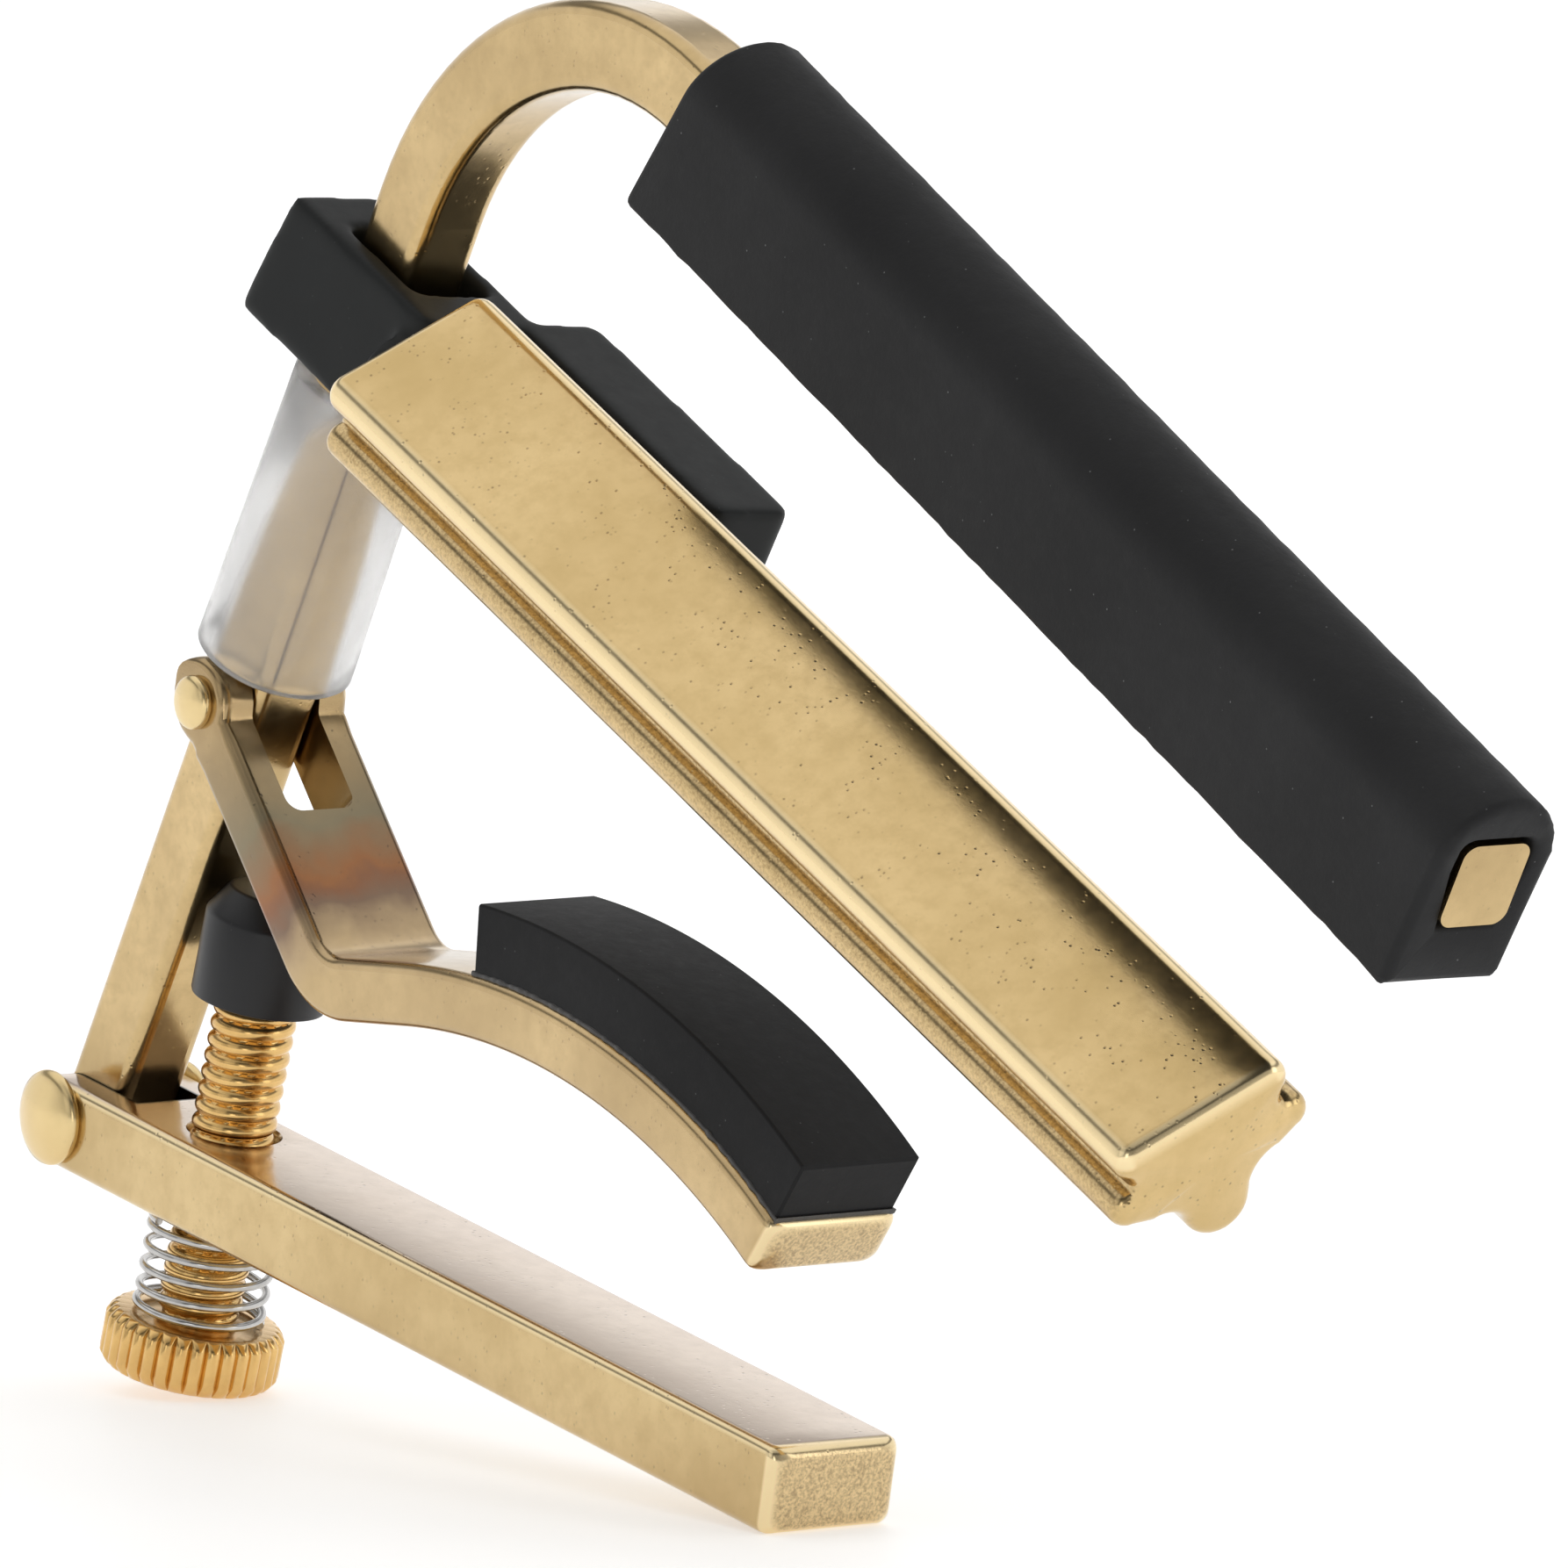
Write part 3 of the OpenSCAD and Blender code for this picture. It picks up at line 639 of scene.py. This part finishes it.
# ---------------------------------------------------------------- sleeve
def build_sleeve():
    """The rubber sleeve: flat below with near-sharp corners, round above, with slanted and worn ends."""
    x0, x1, z0 = 18.5, 92.5, 44.1
    w, h = 7.6, 11.4
    arm_z, arm_t, arm_w, play = 50.4, 4.9, 4.25, 0.25
    slant0, slant1 = math.tan(math.radians(11)), math.tan(math.radians(4))
    r = w / 2
    corner = 0.45

    def outer(inset):
        q, c = r - inset, max(corner - inset * 0.5, 0.12)
        pts = arc((0, z0 + h - r), q, 0, 180, 28)
        pts += arc((-q + c, z0 + inset + c), c, 180, 270, 7)
        pts += arc((q - c, z0 + inset + c), c, 270, 360, 7)
        return pts

    def inner(grow):
        pts = []
        a_w, a_t, c = arm_w / 2 + play + grow, arm_t / 2 + play + grow, 0.9
        for y, z in outer(0):
            a = math.atan2(z - arm_z, y)
            cy, cz = math.cos(a), math.sin(a)
            k = min(a_w / max(abs(cy), 1e-6), a_t / max(abs(cz), 1e-6))
            py, pz = cy * k, cz * k
            over_y, over_z = abs(py) - (a_w - c), abs(pz) - (a_t - c)
            if over_y > 0 and over_z > 0:
                s = c / math.hypot(over_y, over_z)
                py = math.copysign(a_w - c + over_y * min(s, 1), py)
                pz = math.copysign(a_t - c + over_z * min(s, 1), pz)
            pts.append((py, arm_z + pz))
        return pts

    def ring(section, x, end):
        """end is -1 at the hook's end, 1 at the free end and 0 between; it gives the slant and the wear."""
        out = []
        for y, z in section:
            if end < 0:
                px = x + (z - z0) * slant0
            elif end > 0:
                px = x - (z0 + h - z) * slant1
            else:
                lean = (x - x0) / (x1 - x0)
                px = x + (z - z0) * slant0 * (1 - lean) - (z0 + h - z) * slant1 * lean
            rough = noise.noise(Vector((px * 0.9, y * 0.9, z * 0.9))) * 0.04
            if end:
                rough += noise.noise(Vector((px * 3, y * 3 + 5, z * 3))) * 0.05
            grow = 1 + rough / r
            out.append(Vector((px + (rough * 1.2 if end else 0), y * grow, arm_z + (z - arm_z) * grow)))
        return out

    rings = []
    soft = 0.55
    for i in range(6):
        a = math.pi / 2 * i / 5
        rings.append(ring(outer(soft * (1 - math.sin(a))), x0 + soft * (1 - math.cos(a)), -1))
    for x in spaced(x0 + 2.5, x1 - 2.5, 70):
        rings.append(ring(outer(0), x, 0))
    for i in range(6):
        a = math.pi / 2 * i / 5
        rings.append(ring(outer(soft * (1 - math.cos(a))), x1 - soft * (1 - math.sin(a)), 1))
    rings.append(ring(inner(0.25), x1, 1))
    rings.append(ring(inner(0), x1 - 0.3, 1))
    rings.append(ring(inner(0), x0 + 0.3, -1))
    rings.append(ring(inner(0.2), x0, -1))
    obj = loft("rubber_sleeve", rings, ARM, cyclic=True, sharp=60)
    dress(obj, "rubber", "rubber", "main_arm", "arm_sleeve")


# ---------------------------------------------------------------- screw, head, spring, tip
HEAD_TOP, HEAD_H, HANDLE_FOOT = -8.615, 3.2, -2.715
TIP_Z0, TIP_RIM, TIP_Z1 = 9.805, 14.655, 16.155
PITCH, THREAD_D = 0.95, 4.7


def build_screw():
    """A right-hand thread with rounded crests, on a shank that runs into the tip."""
    around = 64
    low, high = HEAD_TOP - 1, TIP_Z0 + 3
    step = PITCH / 14
    count = int((high - low) / step)
    rings = []
    for i in range(count + 1):
        z = low + (high - low) * i / count
        fade = min(1, max(0, (TIP_Z0 - z) / 0.6)) * min(1, max(0, (z - HEAD_TOP) / 0.5))
        ring = []
        for k in range(around):
            a = 2 * math.pi * k / around
            phase = (z / PITCH - a / (2 * math.pi)) % 1.0
            crest = 0.5 + 0.5 * math.cos(2 * math.pi * phase)
            depth = 0.36 * (1 - crest ** 0.3)
            body = THREAD_D / 2 - depth * fade - (1 - fade) * 0.4
            if z > TIP_Z0:
                body = min(body, 1.58)
            ring.append((body * math.cos(a), body * math.sin(a), z))
        rings.append(ring)
    obj = loft("screw_thread", rings, SCREW, sharp=70)
    dress(obj, "screw_brass", "screw_brass", "thumb_screw", "thumb_screw")


def build_head():
    """The thumb screw's head with 33 straight flutes and chamfered rims."""
    flutes, per = 33, 12
    r, c = 5.0, 0.45
    z0, z1 = HEAD_TOP - HEAD_H, HEAD_TOP
    profile = [(3.2, z1), (4.35, z1), (r - c - 0.05, z1 - 0.02), (r - c + 0.12, z1 - 0.1)]
    profile += [(r - 0.1, z1 - c + 0.08), (r, z1 - c - 0.1), (r, (z0 + z1) / 2), (r, z0 + c + 0.1)]
    profile += [(r - 0.1, z0 + c - 0.08), (r - c + 0.12, z0 + 0.1), (r - c - 0.05, z0 + 0.01)]
    profile += [(4.3, z0), (2.5, z0)]
    rings = []
    for radius, z in profile:
        ring = []
        for k in range(flutes * per):
            a = 2 * math.pi * k / (flutes * per)
            wave = abs(math.cos(flutes * a / 2)) ** 0.6
            dip = 0.36 * (1 - wave)
            reach = max(0.0, min(1.0, (radius - (r - 0.62)) / 0.5))
            rr = radius - dip * reach
            ring.append((rr * math.cos(a), rr * math.sin(a), z))
        rings.append(ring)
    obj = loft("thumb_head", rings, SCREW, sharp=32)
    dress(obj, "screw_brass", "screw_brass", "thumb_screw", "knurled_head")


def tube_along(name, points, radius, place, sides=12):
    """A round wire along points."""
    rings = []
    points = [Vector(p) for p in points]
    for i, p in enumerate(points):
        t = (points[min(i + 1, len(points) - 1)] - points[max(i - 1, 0)]).normalized()
        u = Vector((0, 0, 1)) - t * t.z
        u.normalize()
        v = t.cross(u)
        rings.append(
            [
                p + radius * (u * math.cos(2 * math.pi * k / sides) + v * math.sin(2 * math.pi * k / sides))
                for k in range(sides)
            ]
        )
    return loft(name, rings, place, sharp=60)


def build_spring():
    """The wire coil, with a closed turn at each end. It is squeezed between the head and the handle."""
    wire, mean = 0.23, 3.5
    low, high = HEAD_TOP + wire + 0.02, HANDLE_FOOT - wire - 0.2
    turns, closed = 5.6, 0.9
    points = []
    steps = 300
    for i in range(steps + 1):
        t = i / steps * turns
        free = (t - closed) / (turns - 2 * closed)
        z = low + 0.4 * t if free < 0 else (high - 0.4 * (turns - t) if free > 1 else None)
        if z is None:
            a, b = low + 0.4 * closed, high - 0.4 * closed
            z = a + (b - a) * free
        angle = 2 * math.pi * t + 0.8
        points.append((mean * math.cos(angle), mean * math.sin(angle), z))
    obj = tube_along("wire_spring", points, wire, SCREW)
    obj.data.materials.append(MATERIALS["spring_steel"])
    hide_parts("friction_spring")
    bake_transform(obj)


def build_tip():
    """The nylon tip, with a chamfer above and a blind bore for the screw below."""
    r, bore, bore_top = 3.75, 1.62, TIP_Z0 + 3.45
    outline = [(0, TIP_Z1), (2.45, TIP_Z1), (2.6, TIP_Z1 - 0.02), (2.76, TIP_Z1 - 0.12)]
    outline += [(r - 0.16, TIP_RIM + 0.16), (r - 0.04, TIP_RIM), (r, TIP_RIM - 0.15), (r, TIP_Z0 + 0.2)]
    outline += [(r - 0.05, TIP_Z0 + 0.06), (r - 0.2, TIP_Z0), (bore, TIP_Z0), (bore, bore_top)]
    outline += [(0, bore_top)]
    obj = lathe("screw_tip_cap", outline, SCREW, 96, 30)
    dress(obj, "nylon", "nylon", "screw_tip", "nylon_tip")


def build_rivet(name, node, centre, shank, head_r, rim, height):
    """A rivet with a low domed head on each side and softened rims."""
    half = LEVER_W / 2
    dome = height - rim
    side = [(shank, half - 0.02), (head_r - 0.12, half - 0.02), (head_r - 0.02, half + 0.08)]
    side += [(head_r, half + 0.2), (head_r, half + rim - 0.22), (head_r - 0.06, half + rim - 0.06)]
    for i in range(1, 9):
        a = i / 8
        side.append(((head_r - 0.08) * (1 - a), half + rim + dome * (1 - (1 - a) ** 2)))
    profile = side + [(x, -z) for x, z in reversed(side)]
    place = ARM @ Matrix.Translation(centre) @ turn("X", 90)
    obj = lathe(name, profile, place, 72, 40)
    dress(obj, "rivet_brass", "rivet_brass", "main_arm", node)


def build_tube():
    """The clear spacer tube with softened rims, a little wider at its foot."""
    z0, z1, r0, r1, bore, s = 2.75, 20.5, 4.4, 4.15, 3.05, 0.16
    profile = [(bore, z0 + s), (bore + s, z0), (r0 - s, z0), (r0, z0 + s)]
    profile += [(r0 + (r1 - r0) * k / 8, z0 + s + (z1 - z0 - 2 * s) * k / 8) for k in range(1, 8)]
    profile += [(r1, z1 - s), (r1 - s, z1), (bore + s, z1), (bore, z1 - s)]
    obj = lathe("clear_sleeve", profile, ARM, 96, 50)
    dress(obj, "clear_tube", "clear_tube", "main_arm", "spacer_tube")


def build_carriage():
    """The moulded carriage: the CAD solid's shape with its edges softened."""
    source = frame["nodes"]["bar_carriage"]
    obj = bpy.data.objects.new("carriage_moulding", source.data.copy())
    bpy.context.scene.collection.objects.link(obj)
    remesh = obj.modifiers.new("remesh", "REMESH")
    remesh.mode = "VOXEL"
    remesh.voxel_size = 0.17 * MM
    smooth = obj.modifiers.new("soften", "SMOOTH")
    smooth.factor = 0.5
    smooth.iterations = 55
    bpy.context.view_layer.update()
    done = bpy.data.meshes.new_from_object(obj.evaluated_get(bpy.context.evaluated_depsgraph_get()))
    obj.modifiers.clear()
    obj.data = done
    done.polygons.foreach_set("use_smooth", [True] * len(done.polygons))
    dress(obj, "carriage_plastic", "carriage_plastic", "carriage", "bar_carriage")


def carry_over(node, look):
    """Keeps a CAD node's own shape and gives it a material."""
    obj = frame["nodes"][node]
    obj.data.materials.clear()
    obj.data.materials.append(MATERIALS[look])


GOLD = (0.66, 0.48, 0.23)
OLIVE = (0.46, 0.32, 0.14)
MATERIALS = {
    "brass": brass("brass", GOLD, OLIVE, 0.2, 0.5, marks=arm_marks),
    "bar_brass": brass("bar_brass", (0.74, 0.54, 0.26), (0.58, 0.41, 0.17), 0.2, 1.0, 0.4, 0.3, bar_marks),
    "handle_brass": brass(
        "handle_brass", (0.66, 0.49, 0.24), (0.5, 0.35, 0.15), 0.19, 0.7, marks=handle_marks
    ),
    "lever_brass": brass("lever_brass", GOLD, OLIVE, 0.22, 0.6, marks=lever_marks),
    "screw_brass": brass("screw_brass", (0.82, 0.54, 0.2), (0.64, 0.38, 0.12), 0.2, 0.1, 0.2),
    "rivet_brass": brass("rivet_brass", (0.84, 0.66, 0.34), (0.74, 0.55, 0.26), 0.24, 0.15, 0.2),
    "rubber": plastic("rubber", (0.009, 0.009, 0.0095), 0.62, 0.6, 1100.0, 0.35, 0.24),
    "pad_rubber": plastic("pad_rubber", (0.006, 0.006, 0.0065), 0.6, 0.3, 1100.0, 0.2, 0.18),
    "adhesive": plastic("adhesive", (0.02, 0.018, 0.016), 0.3, 0.0, 700.0, 0.6, 0.5),
    "carriage_plastic": plastic("carriage_plastic", (0.008, 0.009, 0.009), 0.5, 0.1, 600.0, 0.08, 0.18),
    "nylon": plastic("nylon", (0.009, 0.009, 0.01), 0.38, 0.1, 500.0, 0.08, 0.35),
}
MATERIALS["spring_steel"] = steel("spring_steel", 0.16)
MATERIALS["pin_steel"] = steel("pin_steel", 0.3)
MATERIALS["clear_tube"] = milky_tube("clear_tube")

build_handle()
build_lever()
build_pad()
build_string_bar()
build_sleeve()
build_screw()
build_head()
build_spring()
build_tip()
build_rivet("upper_rivet_pin", "upper_rivet", (0, 0, 0), 1.15, 1.5, 0.55, 0.85)
build_rivet("lower_rivet_pin", "lower_rivet", (0, 0, -PIVOT_GAP), 1.3, 2.65, 0.5, 1.1)
build_tube()
build_carriage()
carry_over("main_arm", "brass")
carry_over("bar_pin", "pin_steel")


# ---------------------------------------------------------------- stage, light and camera
def build_stage():
    """A wide white floor."""
    size = 6.0
    mesh = bpy.data.meshes.new("floor")
    z = -0.00002
    mesh.from_pydata(
        [(-size, -size, z), (size, -size, z), (size, size, z), (-size, size, z)], [], [(0, 1, 2, 3)]
    )
    floor = bpy.data.objects.new("floor", mesh)
    bpy.context.scene.collection.objects.link(floor)
    mat, n = material("floor_white")
    shader = n.add(
        "ShaderNodeBsdfPrincipled",
        {
            "Base Color": (0.86, 0.86, 0.86, 1),
            "Roughness": 0.55,
            "Emission Color": (1, 1, 1, 1),
            "Emission Strength": 0.46,
        },
    )
    finish_material(mat, n, shader)
    mesh.materials.append(mat)


def area_light(name, at, target, size, power, size_y=None):
    """A softbox at one point that faces another."""
    data = bpy.data.lights.new(name, "AREA")
    data.shape = "RECTANGLE"
    data.size, data.size_y = size, size_y or size
    data.energy = power
    obj = bpy.data.objects.new(name, data)
    bpy.context.scene.collection.objects.link(obj)
    obj.location = at
    obj.rotation_euler = (Vector(target) - Vector(at)).to_track_quat("-Z", "Y").to_euler()


CAMERA_AT = Vector((0.7356, -0.5609, 0.1441))
CAMERA_RIGHT = Vector((0.60549, 0.7956, 0.02028))
CAMERA_UP = Vector((-0.10219, 0.0524, 0.99335))
CAMERA_BACK = Vector((0.78927, -0.6035, 0.11302))


def build_camera():
    """The main camera, low and to the front right, with a long lens."""
    data = bpy.data.cameras.new("camera")
    data.sensor_width = 36
    data.lens = 406.69
    data.clip_start, data.clip_end = 0.05, 20
    camera = bpy.data.objects.new("camera", data)
    bpy.context.scene.collection.objects.link(camera)
    rotation = Matrix((CAMERA_RIGHT, CAMERA_UP, CAMERA_BACK)).transposed()
    camera.matrix_world = Matrix.Translation(CAMERA_AT) @ rotation.to_4x4()
    bpy.context.scene.camera = camera


def build_world():
    """A white studio with a dark gap half way up and a darker side behind the camera, for contrast."""
    world = bpy.data.worlds.new("studio")
    bpy.context.scene.world = world
    world.use_nodes = True
    n = Nodes(world.node_tree)
    way = n.add("ShaderNodeTexCoord").outputs["Generated"]
    front = n.add(
        "ShaderNodeVectorMath", {0: way, 1: (0.72, -0.69, 0.05)}, operation="DOT_PRODUCT"
    ).outputs["Value"]
    shade = n.ramp(front, (0.1, 0.86), (0.55, 0.45), (0.9, 0.22))
    height = n.add("ShaderNodeSeparateXYZ", {0: way}).outputs["Z"]
    band = n.ramp(height, (0.4, 1.0), (0.5, 0.22), (0.6, 0.22), (0.7, 1.0))
    shade = n.mix(1.0, shade, band, "MULTIPLY")
    background = n.add("ShaderNodeBackground", {"Color": shade, "Strength": 1.15})
    white = n.add("ShaderNodeBackground", {"Color": (1, 1, 1, 1), "Strength": 1.0})
    mix = n.add("ShaderNodeMixShader", {0: n.add("ShaderNodeLightPath").outputs["Is Camera Ray"]})
    n.tree.links.new(background.outputs[0], mix.inputs[1])
    n.tree.links.new(white.outputs[0], mix.inputs[2])
    out = n.add("ShaderNodeOutputWorld")
    n.tree.links.new(mix.outputs[0], out.inputs["Surface"])


build_stage()
build_world()
build_camera()
area_light("back_softbox", (-0.45, 0.5, 0.45), (0, 0, 0.03), 0.5, 0.16)
area_light("left_softbox", (0.05, -0.6, 0.3), (0, 0, 0.03), 0.35, 0.22, 0.5)
area_light("right_softbox", (0.6, 0.35, 0.25), (0, 0, 0.03), 0.25, 0.3, 0.4)
area_light("low_softbox", (0.42, -0.5, 0.07), (0.02, 0, 0.03), 0.16, 0.16, 0.2)
bpy.context.scene.view_settings.view_transform = "Standard"
